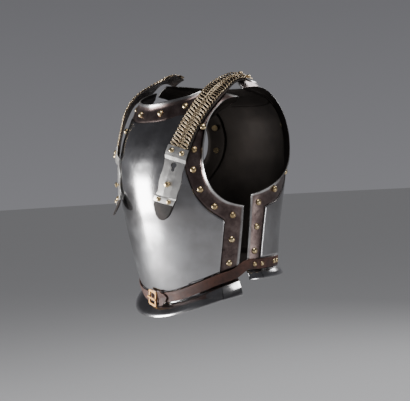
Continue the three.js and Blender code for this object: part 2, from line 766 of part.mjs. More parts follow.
function buckleFrame() {
  const { width, height, bar, thickness } = BUCKLE;
  const rectangle = (w, h, radius) => {
    const shape = new THREE.Shape();
    const x = w / 2 - radius;
    const y = h / 2 - radius;
    shape.absarc(x, y, radius, 0, Math.PI / 2, false);
    shape.absarc(-x, y, radius, Math.PI / 2, Math.PI, false);
    shape.absarc(-x, -y, radius, Math.PI, 1.5 * Math.PI, false);
    shape.absarc(x, -y, radius, 1.5 * Math.PI, 2 * Math.PI, false);
    shape.closePath();
    return shape;
  };
  const frame = rectangle(width, height, 4);
  frame.holes.push(rectangle(width - 2 * bar, height - 2 * bar, 1.5));
  const settings = {
    depth: thickness, bevelEnabled: false, curveSegments: 4,
  };
  return new THREE.ExtrudeGeometry(frame, settings);
}

place('belt_left', beltHalf(1, 0.5), hide(COLOUR.belt));
place('belt_right', beltHalf(-1, 1.5), hide(COLOUR.belt));
place('buckle_chape', chapeGeometry(), hide(COLOUR.belt));

const buckleZ = risingLine(BREAST.waist, BUCKLE.angle);
const buckleOut = breast.outward(BUCKLE.angle, buckleZ);
const buckleUp = new THREE.Vector3(0, 0, 1)
  .applyAxisAngle(buckleOut, THREE.MathUtils.degToRad(BUCKLE.tilt));
const buckleLift = BELT.lift + BELT.thickness + 2.6;
const frameGeometry = turned(
  buckleFrame(),
  breast.at(BUCKLE.angle, buckleZ, buckleLift),
  buckleOut,
  buckleUp,
);
place('buckle_frame', frameGeometry, metal(COLOUR.buckle, 0.35));

const prongSize = { width: BUCKLE.width + 2, height: 3.2, thickness: 2.2 };
const prong = new THREE.BoxGeometry(prongSize.width, prongSize.height, prongSize.thickness);
const prongLift = buckleLift + BUCKLE.thickness + GAP + prongSize.thickness / 2;
place('buckle_prong', turned(
  prong,
  breast.at(BUCKLE.angle, buckleZ, prongLift),
  buckleOut,
  buckleUp,
), metal(COLOUR.buckle, 0.35));

// ---- studs on the breastplate ----------------------------------------------------------

for (const [sideName, sign] of [['left', 1], ['right', -1]]) {
  const angle = sign * STUD.angle;
  const outward = breast.outward(angle, STUD.z);
  const point = breast.at(angle, STUD.z, 0);
  const base = reach(breastplate, point, outward, STUD.neckRadius) + GAP;
  const stud = place(`stud_${sideName}`, studGeometry(), metal(COLOUR.brass, 0.3));
  stand(stud, point.addScaledVector(outward, base), outward);
}

export default cuirass;
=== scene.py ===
import json
import math

import bmesh
import bpy
import numpy as np
from mathutils import Matrix, Vector

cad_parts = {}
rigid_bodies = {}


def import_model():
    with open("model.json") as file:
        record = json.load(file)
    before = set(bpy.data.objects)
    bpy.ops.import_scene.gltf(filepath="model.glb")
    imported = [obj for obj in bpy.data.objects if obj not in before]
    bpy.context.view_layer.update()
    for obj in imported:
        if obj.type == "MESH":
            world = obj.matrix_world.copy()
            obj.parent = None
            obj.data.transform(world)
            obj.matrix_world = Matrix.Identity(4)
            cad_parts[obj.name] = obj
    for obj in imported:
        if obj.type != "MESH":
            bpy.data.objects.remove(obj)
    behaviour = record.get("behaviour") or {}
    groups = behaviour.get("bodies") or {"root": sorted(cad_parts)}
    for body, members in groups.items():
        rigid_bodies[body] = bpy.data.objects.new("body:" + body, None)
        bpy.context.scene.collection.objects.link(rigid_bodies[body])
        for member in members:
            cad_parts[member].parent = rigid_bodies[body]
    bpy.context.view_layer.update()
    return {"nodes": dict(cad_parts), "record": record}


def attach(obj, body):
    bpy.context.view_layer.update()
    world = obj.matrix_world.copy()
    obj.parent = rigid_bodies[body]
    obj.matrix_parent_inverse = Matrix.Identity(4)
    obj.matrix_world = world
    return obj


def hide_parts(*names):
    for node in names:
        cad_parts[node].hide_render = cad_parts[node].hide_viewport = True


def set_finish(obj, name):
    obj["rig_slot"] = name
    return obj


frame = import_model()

MM = 0.001

# ---- sizes, in millimetres and degrees round the body ------------------------------------

PLATE_THICKNESS = 2.6
FIELD_RISE = 2.0
STEP_WIDTH = 2.0
GAP = 0.35
DEGREE_LENGTH = 2.8
FINE = 6  # steps of the fine surface to one step of the solid
LIP_ROWS, BAND_ROWS, LIP_CURL = 8, 6, 1.75
STEP_LEAD, STEP_OFFSETS = 0.9, [-0.45, 0, 0.5, 1.0, 1.5, STEP_WIDTH]
STEP_GROOVE = dict(depth=0.45, before=0.35, width=0.4)
BAND_FADE = (0.4, 0.2)
FAR = 60  # edge and step distance given to points well away from both
HEM_REACH, BAND_END = 40, 2.2

# Half ellipses that make up the body. Columns: height, half width, depth.
BREAST_SECTIONS = [
    (8, 72, 60), (-5, 86, 72), (-15, 103, 88), (-25, 118, 101), (-35, 133, 113),
    (-45, 146, 122), (-61, 153, 129), (-80, 159, 138), (-105, 164, 153), (-130, 167, 163),
    (-160, 170, 170), (-200, 172, 173), (-240, 172, 170), (-281, 170, 162), (-322, 165, 154),
    (-354, 160, 147), (-385, 156, 140), (-410, 153, 133), (-430, 151, 127), (-475, 150, 125),
]
BACK_SECTIONS = [
    (8, 84, 70), (0, 108, 88), (-12, 131, 106), (-35, 150, 134), (-60, 161, 154),
    (-91, 168, 168), (-126, 172, 173), (-160, 173, 171), (-209, 173, 161), (-251, 171, 149),
    (-300, 166, 138), (-355, 160, 131), (-400, 156, 128),
]
# Outlines are [angle, height] rows of one half.
BREAST = dict(
    side=-1, sections=BREAST_SECTIONS,
    neck_edge=[[0, -45.5], [15, -42], [30, -37], [39, -33], [49, -26], [68, -18]],
    shoulder_middle=[76, -29],
    arm_edge=[[83, -42], [66, -48], [55, -75], [52.3, -116], [51.9, -162], [53.5, -189],
              [57.5, -217], [64.7, -238], [71, -246], [77.5, -251]],
    side_edge=[[77.5, -251], [75.5, -301], [73.8, -345], [72, -380]],
    neck_band=[[0, -80], [12, -79], [23.5, -74], [30, -69], [43, -70]],
    arm_band=[[43, -70], [39.5, -116], [39.8, -166], [42.2, -197], [46.5, -231], [53, -256],
              [62.8, -278]],
    side_band=[[62.8, -278], [60, -332], [56.7, -386]],
    lip=dict(neck=6, neck_end=3, arm=7, arm_top=7, side=1.5, width=13, shoulder_width=18),
    waist=dict(centre=-432, rise=47, lean=8, groove=4, above=13),
    hem=dict(centre=-469, rise=41, lean=8, flare=22),
)
BACK = dict(
    side=1, sections=BACK_SECTIONS,
    neck_edge=[[0, -20], [25, -18], [45, -12], [65, -6], [89, -2]],
    shoulder_middle=[90, -12],
    arm_edge=[[90.5, -21], [71, -22], [57.5, -37], [51, -63], [48, -95], [47, -129],
              [49.5, -162], [59.8, -190], [74.4, -213], [88, -226], [97, -230.5]],
    side_edge=[[97, -230.5], [99.3, -297], [101.3, -360]],
    neck_band=[[0, -54], [20, -51], [38, -42], [50, -42]],
    arm_band=[[50, -42], [38, -64], [35, -95], [34.5, -129], [37.5, -168], [47, -211],
              [64, -244], [82.8, -257]],
    side_band=[[82.8, -257], [84.9, -305], [87, -356]],
    lip=dict(neck=6, neck_end=1, arm=10, arm_top=1, side=1.5, width=14, shoulder_width=15),
    waist=dict(centre=-370, rise=1, lean=0, groove=4, above=12),
    hem=dict(centre=-400, rise=2, lean=0, flare=12),
)
STEPS = dict(neck=6, shoulder=1, arm=12, side=5)
BREAST_RIVETS = [[12.5, -61], [34.5, -49], [51, -95], [46.1, -136], [45.6, -175],
                 [49.4, -214], [57.6, -249], [69.4, -268], [67.8, -316], [65.2, -363]]
BACK_RIVETS = [[14, -37], [33, -32], [47.5, -54], [41.5, -95], [41.5, -145],
               [52.5, -192], [73.2, -224], [90.2, -247], [91.6, -295], [93.8, -343]]

# Strap edges from the tip up: inner angle and height, outer angle and height, lift.
STRAP_FRONT = [
    (13.5, -264, 26.5, -275, 3), (17, -230, 31, -243, 3), (20, -213, 34.5, -226, 3),
    (24.3, -175, 38.8, -188, 2.8), (28.3, -130, 43, -145, 2.8), (33, -90, 47.6, -102, 3.4),
    (39.5, -56, 54.5, -67, 4.4), (48, -33, 64, -45, 5.4), (61, -14, 77, -29, 5.2),
]
# Over the shoulder: inner place, outer place.
STRAP_TOP = [
    ((91, -12, 2), (127, -5, -9.5)),
    ((91, 10, 8), (129, 14, -5.5)),
    ((91, 33, 4.5), (129, 35, -9)),
]
TIP_ROUND, TIP_END, PLATE_END, CLIP_END = 0.95, 1.5, 1.0, 1.55
BRACKET_START, BRACKET_END, LEATHER_START = 3.72, 4.12, 3.8
REAR_BRACKET_START, STRAP_END = 10.5, 11.0
CROWN, LEATHER, CHAIN, SHEET, TIP = 2.0, 2.4, 3.2, 1.6, 2.2
LOOSE_SHOULDER, LOOSE_CLIP, LOOSE_TIP, LOOSE_TIP_RAISE = 9, 7, 24, 12
LEATHER_ROWS, TIP_ROWS, SHEET_COLUMNS = 90, 40, 9

# Chain rings. Columns: place across the strap, length, height, lean, shift in rows, drop.
RING_COLUMNS = [
    (0.25, 19.5, 6.0, 0.22, 0.0, 0.0),
    (0.485, 10.5, 4.6, -0.34, 0.5, -0.6),
    (0.72, 19.5, 6.0, 0.22, 0.12, 0.0),
]
RING_PITCH, RING_FIRST, RING_LIFT, RING_TIP = 7.4, 0.7, 1.7, 0.30
RING_WIRE, RING_ENDS, RING_SQUARENESS = 1.15, 2.6, 0.8
RING_STEPS, WIRE_SIDES = 22, 7

# Domed heads: radius, height, depth sunk into what carries them.
PLATE_DOME, STRAP_DOME, BELT_DOME = (6.4, 4.6, 2.2), (5.1, 3.5, 0.5), (4.7, 2.9, 0.8)

BELT_HEIGHT, BELT_THICKNESS, BELT_LIFT, BELT_BACK_Z = 20, 2.8, 2.8, -369
BELT_FRONT_ANGLES = [16, 30, 44, 58, 69]
BELT_BACK_ANGLES = [102.5, 92, 81, 71, 60]
BELT_RIVET_ANGLES = [94.8, 87, 69.6, 63.8]
BELT_SWELL, BELT_SLIM, BELT_ROWS, BELT_STEPS = 0.35, 0.5, 9, 110

SIDES = (("left", 1), ("right", -1))


# ---- curves and the body's surface ---------------------------------------------------------

def unit(v):
    return v / np.linalg.norm(v, axis=-1, keepdims=True)


def column(rows, key):
    """Monotone cubic through a table's column, against height: Hermite pieces whose
    tangents are the harmonic means of the slopes on both sides."""
    rows = np.array(rows, float)
    z, v = rows[:, 0], rows[:, key]
    slope = np.diff(v) / np.diff(z)
    a, b = slope[:-1], slope[1:]
    total = np.where(a + b == 0, 1, a + b)
    inside = np.where(a * b > 0, 2 * a * b / total, 0)
    tangent = np.concatenate([slope[:1], inside, slope[-1:]])

    def value(height):
        i = np.clip(np.searchsorted(-z, -height, side="right") - 1, 0, len(z) - 2)
        span = z[i + 1] - z[i]
        t = (height - z[i]) / span
        hermite = ((2 * t**3 - 3 * t**2 + 1) * v[i] + (t**3 - 2 * t**2 + t) * span * tangent[i]
                   + (3 * t**2 - 2 * t**3) * v[i + 1] + (t**3 - t**2) * span * tangent[i + 1])
        return np.where(height > z[0], v[0] + slope[0] * (height - z[0]), hermite)

    return value


class Form:
    """Half ellipses: x = half width * sin(angle), y = side * depth * cos(angle)."""

    def __init__(self, plate):
        self.side = plate["side"]
        self.half_width = column(plate["sections"], 1)
        self.depth = column(plate["sections"], 2)

    def base(self, angle, z):
        angle, z = np.broadcast_arrays(np.asarray(angle, float), np.asarray(z, float))
        turn = np.radians(angle)
        return np.stack([self.half_width(z) * np.sin(turn),
                         self.side * self.depth(z) * np.cos(turn), z], -1)

    def outward(self, angle, z):
        """The cross product of the steps across and upward."""
        angle, z = np.asarray(angle, float), np.asarray(z, float)
        across = self.base(angle + 0.5, z) - self.base(angle - 0.5, z)
        upward = self.base(angle, z + 0.5) - self.base(angle, z - 0.5)
        return unit(np.cross(across, upward) * -self.side)

    def at(self, angle, z, lift):
        lift = np.asarray(lift, float)[..., None]
        return self.base(angle, z) + self.outward(angle, z) * lift


breast, back = Form(BREAST), Form(BACK)


def curve(points, t):
    """Centripetal Catmull-Rom through the points; t runs 0 to 1 evenly by point."""
    p = np.array(points, float)
    count = len(p)
    ahead = np.vstack([2 * p[0] - p[1], p, 2 * p[-1] - p[-2]])
    s = np.clip(np.asarray(t, float), 0, 1) * (count - 1)
    i = np.minimum(s.astype(int), count - 2)
    w = (s - i)[..., None]
    p0, p1, p2, p3 = (ahead[i + k] for k in range(4))

    def gap(a, b):
        return np.sqrt(np.linalg.norm(b - a, axis=-1, keepdims=True))

    d0, d1, d2 = gap(p0, p1), gap(p1, p2), gap(p2, p3)
    m1 = ((p1 - p0) / d0 - (p2 - p0) / (d0 + d1) + (p2 - p1) / d1) * d1
    m2 = ((p2 - p1) / d1 - (p3 - p1) / (d1 + d2) + (p3 - p2) / d2) * d1
    return (p1 + m1 * w + (-3 * p1 + 3 * p2 - 2 * m1 - m2) * w**2
            + (2 * p1 - 2 * p2 + m1 + m2) * w**3)


def spaced(rows, steps):
    """Points at even distances along an outline of [angle, height] rows."""
    corners = np.array(rows, float) * [DEGREE_LENGTH, 1]
    t = np.linspace(0, 1, 401)
    line = curve(corners, t)
    length = np.concatenate([[0], np.cumsum(np.linalg.norm(np.diff(line, axis=0), axis=1))])
    even = np.interp(np.linspace(0, length[-1], steps + 1), length, t)
    return curve(corners, even) / [DEGREE_LENGTH, 1]


def smooth(x, low, high):
    """Smoothstep from 0 at low to 1 at high."""
    t = np.clip((np.asarray(x, float) - low) / (high - low), 0, 1)
    return t * t * (3 - 2 * t)


def rising(line, angle):
    """centre + rise * sin squared + lean * sin."""
    sine = np.sin(np.radians(angle))
    return line["centre"] + line["rise"] * sine**2 + line["lean"] * sine


# ---- meshes from grids ---------------------------------------------------------------------

def weld(grids):
    """Joins grids of points that share edges. Each grid is (points, facts, flipped)."""
    points, facts, quads, start = [], [], [], 0
    for grid, fact, flipped in grids:
        rows, cols = grid.shape[:2]
        number = start + np.arange(rows * cols).reshape(rows, cols)
        quad = np.stack([number[:-1, :-1], number[1:, :-1], number[1:, 1:], number[:-1, 1:]], -1)
        quad = quad.reshape(-1, 4)
        quads.append(quad[:, ::-1] if flipped else quad)
        points.append(grid.reshape(-1, 3))
        facts.append(fact.reshape(rows * cols, -1))
        start += rows * cols
    points, facts, quads = np.vstack(points), np.vstack(facts), np.vstack(quads)
    _, first, which = np.unique(np.round(points * 500).astype(np.int64), axis=0,
                                return_index=True, return_inverse=True)
    return points[first], facts[first], which.reshape(-1)[quads]


def vertex_normals(points, faces):
    """Sum of the faces' area vectors at each vertex, made unit length."""
    p = points[faces]
    area = np.cross(p[:, 2] - p[:, 0], p[:, -1] - p[:, 1])
    total = np.zeros_like(points)
    for k in range(faces.shape[1]):
        np.add.at(total, faces[:, k], area)
    return unit(total)


def thicken(points, faces, thickness):
    """The given faces stay outside; a copy lies inside and rims close the free edges."""
    count = len(points)
    inner = points - vertex_normals(points, faces) * thickness
    a, b = faces.reshape(-1), np.roll(faces, -1, axis=1).reshape(-1)
    free = ~np.isin(a * count + b, b * count + a)
    a, b = a[free], b[free]
    rims = np.stack([b, a, a + count, b + count], -1)
    walls = [faces.tolist(), (faces[:, ::-1] + count).tolist(), rims.tolist()]
    return np.vstack([points, inner]), [face for wall in walls for face in wall]


def make_piece(name, points, faces, slot, replaced=(), facts=None, bevel=0.0, sharp=40):
    """Puts points in millimetres into a mesh in metres that rides on the body."""
    mesh = bpy.data.meshes.new(name)
    mesh.from_pydata((np.asarray(points) * MM).tolist(), [], faces)
    mesh.validate()
    for key, values in (facts or {}).items():
        field = mesh.attributes.new(key, "FLOAT", "POINT")
        field.data.foreach_set("value", np.ascontiguousarray(values, float))
    mesh.shade_smooth()
    piece = bpy.data.objects.new(name, mesh)
    bpy.context.scene.collection.objects.link(piece)
    if bevel:
        soft = piece.modifiers.new("worn_edges", "BEVEL")
        soft.width, soft.segments = bevel * MM, 2
        soft.limit_method, soft.angle_limit = "ANGLE", math.radians(sharp)
        soft.harden_normals = False
    else:
        mesh.set_sharp_from_angle(angle=math.radians(sharp))
    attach(piece, "root")
    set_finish(piece, slot)
    if replaced:
        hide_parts(*replaced)
    return piece


# ---- breastplate and backplate -------------------------------------------------------------

def border_outlines(plate, sign):
    """The free edge and the raised field's edge, point for point."""
    neck, shoulder, arm, side = (STEPS[key] * FINE for key in ("neck", "shoulder", "arm", "side"))
    corner, neck_end = plate["arm_edge"][0], plate["neck_edge"][-1]
    outer = np.vstack([
        spaced(plate["neck_edge"], neck),
        spaced([neck_end, plate["shoulder_middle"]], shoulder)[1:],
        spaced([plate["shoulder_middle"], corner], shoulder)[1:],
        spaced(plate["arm_edge"], arm)[1:],
        spaced(plate["side_edge"], side)[1:]])
    inner = np.vstack([
        spaced(plate["neck_band"], neck + shoulder),
        spaced(plate["arm_band"], shoulder + arm)[1:],
        spaced(plate["side_band"], side)[1:]])
    for line in (outer, inner):
        line[-1, 1] = rising(plate["waist"], sign * line[-1, 0]) + plate["waist"]["above"]
    return outer, inner


def lip_sizes(lip, count):
    """Height and width of the turned-out lip at each outline point, joined in straight lines
    between the solid's own points round the shoulder and eased along the arm."""
    neck, shoulder, arm = STEPS["neck"], STEPS["shoulder"], STEPS["arm"]
    i = np.arange(count) / FINE
    along = np.clip((i - neck - 2 * shoulder) / arm, 0, 1)
    crest = lip["arm_top"] + (lip["arm"] - lip["arm_top"]) * smooth(along, 0, 0.25)
    height = crest + (lip["side"] - crest) * smooth(along, 0.7, 1)
    at_neck = lip["neck"] + (lip["neck_end"] - lip["neck"]) * (i / neck) ** 2
    stops = [neck, neck + shoulder, neck + 2 * shoulder]
    low = min(lip["side"], lip["neck_end"])
    over = np.interp(i, stops, [lip["neck_end"], low, lip["arm_top"]])
    height = np.where(i <= neck, at_neck, np.where(i <= stops[2], over, height))
    wider = lip["width"] - lip["shoulder_width"]
    wide = lip["shoulder_width"] + wider * np.minimum(1, along * 3)
    past_arm = neck + 2 * shoulder + arm
    width = np.where(i <= stops[1], lip["width"], wide)
    width = np.where((i > stops[1]) & (i < stops[2]),
                     np.interp(i, stops[1:], [lip["width"], lip["shoulder_width"]]), width)
    width = width * np.interp(i, [past_arm, past_arm + 1], [1, 0.5])
    return height, width


def half_plate(plate, form, sign):
    """Grids of one half: border, raised field and skirt, with their surface facts.
    The facts are: band 0 to 1, distance from the free edge, distance from the step's foot."""
    neck, shoulder = STEPS["neck"] * FINE, STEPS["shoulder"] * FINE
    waist, hem = plate["waist"], plate["hem"]
    outer, inner = border_outlines(plate, sign)
    breadth = np.linalg.norm(form.at(*outer.T, 0 * outer[:, 0])
                             - form.at(*inner.T, 0 * inner[:, 0]), axis=1)
    lip_height, lip_width = lip_sizes(plate["lip"], len(outer))
    lip_rows = np.linspace(0, 1, LIP_ROWS)[:, None] * lip_width
    foot = breadth - STEP_WIDTH
    band_rows = lip_width + np.linspace(0, 1, BAND_ROWS)[1:, None] * (foot - STEP_LEAD - lip_width)
    step_rows = foot + np.array(STEP_OFFSETS)[:, None]
    from_edge = np.vstack([lip_rows, band_rows, step_rows])
    share = from_edge / breadth
    where = outer + (inner - outer) * share[..., None]
    curl = lip_height * np.clip(1 - from_edge / lip_width, 0, 1) ** LIP_CURL
    from_groove = (from_edge - foot + STEP_GROOVE["before"]) / STEP_GROOVE["width"]
    groove = -STEP_GROOVE["depth"] * np.exp(-from_groove ** 2)
    lift = curl + groove + FIELD_RISE * smooth(from_edge, foot, breadth)
    band = 1 - smooth(from_edge, foot + BAND_FADE[0], breadth - BAND_FADE[1])
    border = dict(where=where, lift=lift, band=band, edge=from_edge, step=from_edge - foot)

    turn = neck + shoulder
    top, right = inner[:turn + 1], inner[turn:]

    def waist_top(angle):
        return rising(waist, sign * angle) + waist["above"]

    t = np.linspace(0, 1, len(right))
    left = np.stack([0 * t, top[0, 1] + (waist_top(0) - top[0, 1]) * t], -1)
    angles = right[-1, 0] * np.linspace(0, 1, len(top))
    bottom = np.stack([angles, waist_top(angles)], -1)
    u, v = np.linspace(0, 1, len(top))[None, :, None], t[:, None, None]
    patch = ((1 - u) * left[:, None] + u * right[:, None] + (1 - v) * top[None] + v * bottom[None]
             - (1 - u) * (1 - v) * top[0] - u * (1 - v) * top[-1]
             - (1 - u) * v * bottom[0] - u * v * bottom[-1])
    flat = np.zeros(patch.shape[:2])
    field = dict(where=patch, lift=flat + FIELD_RISE, band=flat, edge=flat + FAR, step=flat + FAR)

    rim = {key: value[::-1, -1] for key, value in border.items()}
    across = np.vstack([bottom, rim["where"][1:]])
    lift0 = np.concatenate([0 * angles + FIELD_RISE, rim["lift"][1:]])
    band0 = np.concatenate([0 * angles, rim["band"][1:]])
    edge0 = np.concatenate([0 * angles + FAR, rim["edge"][1:]])
    step0 = np.concatenate([0 * angles + FAR, rim["step"][1:]])
    above = waist["above"]
    below = np.concatenate([np.linspace(0, STEP_WIDTH, 5), np.linspace(STEP_WIDTH, above, 7)[1:],
                            np.linspace(above, 2 * above, 7)[1:]])[:, None]
    ease = np.where(below <= above, -waist["groove"] * smooth(below, STEP_WIDTH, above),
                    -waist["groove"] + (waist["groove"] - 1) * smooth(below, above, 2 * above))
    settle = smooth(below, 0, STEP_WIDTH)
    upper_lift = lift0 * (1 - settle) + ease
    upper = np.stack([np.broadcast_to(across[:, 0], upper_lift.shape), across[:, 1] - below], -1)
    s = np.linspace(0, 1, 13)[1:, None]
    start = across[:, 1] - 2 * above
    flange_z = start + (rising(hem, sign * across[:, 0]) - start) * s
    flange = np.stack([np.broadcast_to(across[:, 0], flange_z.shape), flange_z], -1)
    flange_lift = -1 + (hem["flare"] + 1) * np.sin(s * np.pi / 2) + 0 * flange_z
    lift = np.vstack([upper_lift, flange_lift])
    blank = np.ones(lift.shape)
    fade = 1 - smooth(np.vstack([below, 3 * above + 0 * s]), above, BAND_END * above)
    hem_edge = np.vstack([FAR + 0 * below, (1 - s) * HEM_REACH]) * blank
    skirt = dict(where=np.vstack([upper, flange]), lift=lift, band=band0 * fade,
                 edge=np.minimum(edge0 * blank, hem_edge), step=step0 * blank)

    grids = []
    for grid in (border, field, skirt):
        place = grid["where"]
        points = form.at(place[..., 0], place[..., 1], grid["lift"]) * [sign, 1, 1]
        facts = np.stack([grid["band"], grid["edge"], grid["step"]], -1)
        grids.append((points, facts, plate["side"] * sign > 0))
    return grids


def make_plate(name, plate, form):
    """Both halves welded and thickened inwards, with the facts that the steel finish reads."""
    points, facts, faces = weld(half_plate(plate, form, 1) + half_plate(plate, form, -1))
    solid, walls = thicken(points, faces, PLATE_THICKNESS)
    band, edge, step = np.vstack([facts, facts]).T
    inside = np.repeat([0.0, 1.0], len(points))
    make_piece(f"{name}_surface", solid, walls, "steel", [name], bevel=0.5, sharp=50,
               facts=dict(band=band, edge=edge, step=step, inside=inside))


make_plate("breastplate", BREAST, breast)
make_plate("backplate", BACK, back)


# ---- domed heads ---------------------------------------------------------------------------

def lathe(profile, centres, axes, around=20):
    """A profile of (radius, height) rows turned about each axis, its ends closed at the pole."""
    radius, height = np.array(profile, float).T
    turn = np.linspace(0, 2 * np.pi, around, endpoint=False)
    side = unit(np.cross(axes, [0.13, 0.27, 0.95]))
    third = np.cross(axes, side)
    ring = (np.cos(turn)[:, None] * side[:, None, None]
            + np.sin(turn)[:, None] * third[:, None, None])
    points = (centres[:, None, None] + ring * radius[None, :, None, None]
              + (axes[:, None] * height[:, None])[:, :, None])
    count, rows = len(centres), len(radius)
    number = np.arange(rows * around).reshape(rows, around)
    quads = np.stack([number[:-1], np.roll(number[:-1], -1, 1), np.roll(number[1:], -1, 1),
                      number[1:]], -1).reshape(-1, 4)
    faces = []
    for k in range(count):
        shift = k * rows * around
        faces += (quads + shift).tolist()
        faces.append((number[0, ::-1] + shift).tolist())
        faces.append((number[-1] + shift).tolist())
    return points.reshape(-1, 3), faces


def dome_profile(radius, height, sunk):
    """A quarter ellipse with a rounded foot, sunk below its base."""
    t = np.linspace(0, np.pi / 2, 8)
    dome = np.stack([radius * np.cos(t), height * np.sin(t)], -1)[:-1]
    return np.vstack([[radius * 0.97, -sunk], dome, [0.4, height]])


def node_points(node):
    """A solid's own vertices, in millimetres."""
    mesh = frame["nodes"][node].data
    found = np.empty(len(mesh.vertices) * 3)
    mesh.vertices.foreach_get("co", found)
    return found.reshape(-1, 3) / MM


def rivet_places(prefix, rows, form):
    """Base centre and axis of each solid rivet, from its own points."""
    centres, axes, names = [], [], []
    for i, (angle, z) in enumerate(rows):
        for side_name, sign in SIDES:
            name = f"{prefix}_rivet_{i + 1}_{side_name}"
            axis = form.outward(sign * angle, z)
            points = node_points(name)
            height = points @ axis
            base = points[height < height.min() + 0.2].mean(axis=0)
            centres.append(base)
            axes.append(axis)
            names.append(name)
    return np.array(centres), np.array(axes), names


for prefix, rows, form in (("breastplate", BREAST_RIVETS, breast),
                           ("backplate", BACK_RIVETS, back)):
    centres, axes, names = rivet_places(prefix, rows, form)
    points, faces = lathe(dome_profile(*PLATE_DOME), centres, axes)
    make_piece(f"{prefix}_rivets", points, faces, "rivet_brass", names, sharp=60)


# ---- shoulder straps -----------------------------------------------------------------------

def strap_path(sign):
    """A strap as a sheet between two smooth edge curves, crowned across its width."""
    loose = sign < 0
    extra = [LOOSE_TIP, LOOSE_CLIP, LOOSE_CLIP * 0.3, 0]
    extra += [share * LOOSE_SHOULDER for share in (0.3, 0.7, 1, 1, 1)]
    over = [LOOSE_SHOULDER, LOOSE_SHOULDER, LOOSE_SHOULDER * 0.5]

    def edge(which):
        rows = []
        for i, row in enumerate(STRAP_FRONT):
            angle, z = row[2 * which], row[2 * which + 1]
            if i == 0 and loose:
                z += LOOSE_TIP_RAISE
            rows.append(breast.at(angle, z, row[4] + (extra[i] if loose else 0)))
        for i, row in enumerate(STRAP_TOP):
            rows.append(np.array(row[which], float) + [0, 0, over[i] if loose else 0])
        return np.array(rows) * [sign, 1, 1]

    inner, outer = edge(0), edge(1)

    def path(along, across, lift):
        along, across, lift = (np.asarray(v, float) for v in (along, across, lift))
        along, across, lift = np.broadcast_arrays(along, across, lift)
        t = along / STRAP_END
        near, far = curve(inner, t), curve(outer, t)
        step = 1e-4
        tangent = (unit(curve(inner, t + step) - curve(inner, t - step))
                   + unit(curve(outer, t + step) - curve(outer, t - step)))
        outward = unit(np.cross(far - near, tangent) * sign)
        rise = lift + CROWN * 4 * across * (1 - across)
        point = near + (far - near) * across[..., None] + outward * rise[..., None]
        return point, outward

    return path


def full_width(along):
    return 0 * along, 0 * along + 1


def tip_edges(along):
    """The strap's end as a half ellipse that widens to nearly the full width."""
    left = np.minimum(1, (along + 0.02) / TIP_ROUND)
    half = 0.49 * np.sqrt(1 - (1 - left) ** 2)
    return 0.5 - half, 0.5 + half


def strap_sheet(path, sign, start, end, rows, edges, thickness):
    """A strip of the strap: along falls down the rows, across runs between its two edges."""
    along = np.linspace(end, start, rows)[:, None]
    first, last = edges(along)
    across = first + (last - first) * np.linspace(0, 1, SHEET_COLUMNS)
    points = path(along, across, thickness)[0]
    points, _, faces = weld([(points, np.zeros(across.shape), sign < 0)])
    return thicken(points, faces, thickness)


def chain_links(path, sign):
    """Rows of interlocked oval rings: centre line an oval, tipped about its long axis,
    wire round; three columns, the middle one half a row further on and leaning back."""
    fine = np.linspace(LEATHER_START, STRAP_END, 600)
    middle = path(fine, 0.5, LEATHER + CHAIN / 2)[0]
    travelled = np.concatenate([[0], np.cumsum(np.linalg.norm(np.diff(middle, axis=0), axis=1))])
    rows = np.arange(int(travelled[-1] / RING_PITCH) - 1)
    turn = np.linspace(0, 2 * np.pi, RING_STEPS, endpoint=False)
    wire = np.linspace(0, 2 * np.pi, WIRE_SIDES, endpoint=False)
    blocks = []
    for across, length, height, lean, shift, drop in RING_COLUMNS:
        at = travelled[0] + (rows + RING_FIRST + shift) * RING_PITCH
        along = np.interp(at, travelled, fine)
        centre, outward = path(along, across, LEATHER + GAP + RING_LIFT + drop)
        ahead = unit(path(along + 0.02, across, LEATHER)[0] - path(along - 0.02, across, LEATHER)[0])
        cross = unit(np.cross(ahead, outward)) * sign
        long_way = unit(cross * math.cos(lean) - ahead * math.sin(lean))
        short_way = unit(np.cross(outward, long_way))
        short_way *= np.sign(np.sum(short_way * ahead, -1, keepdims=True))
        short_tipped = short_way * math.cos(RING_TIP) + outward * math.sin(RING_TIP)
        normal = outward * math.cos(RING_TIP) - short_way * math.sin(RING_TIP)
        bow = np.sign(np.cos(turn)) * np.abs(np.cos(turn)) ** RING_SQUARENESS
        oval_x = bow * (length - RING_ENDS) / 2
        oval_y = np.sin(turn) * height / 2
        line = (centre[:, None] + long_way[:, None] * oval_x[:, None]
                + short_tipped[:, None] * oval_y[:, None])
        heading = unit(np.roll(line, -1, 1) - np.roll(line, 1, 1))
        side = unit(np.cross(heading, normal[:, None]))
        tube = (line[:, :, None] + side[:, :, None] * (np.cos(wire) * RING_WIRE)[:, None]
                + normal[:, None, None] * (np.sin(wire) * RING_WIRE)[:, None])
        blocks.append(tube.reshape(len(rows), -1, 3))
    points = np.concatenate(blocks)
    many, per = points.shape[:2]
    number = np.arange(per).reshape(len(turn), len(wire))
    quads = np.stack([number, np.roll(number, -1, 0), np.roll(np.roll(number, -1, 0), -1, 1),
                      np.roll(number, -1, 1)], -1).reshape(-1, 4)
    faces = (quads[None] + (np.arange(many) * per)[:, None, None]).reshape(-1, 4)
    return points.reshape(-1, 3), faces.tolist()


def fix_normals(piece):
    """Turns every closed shell's faces outwards."""
    work = bmesh.new()
    work.from_mesh(piece.data)
    bmesh.ops.recalc_face_normals(work, faces=work.faces)
    work.to_mesh(piece.data)
    work.free()


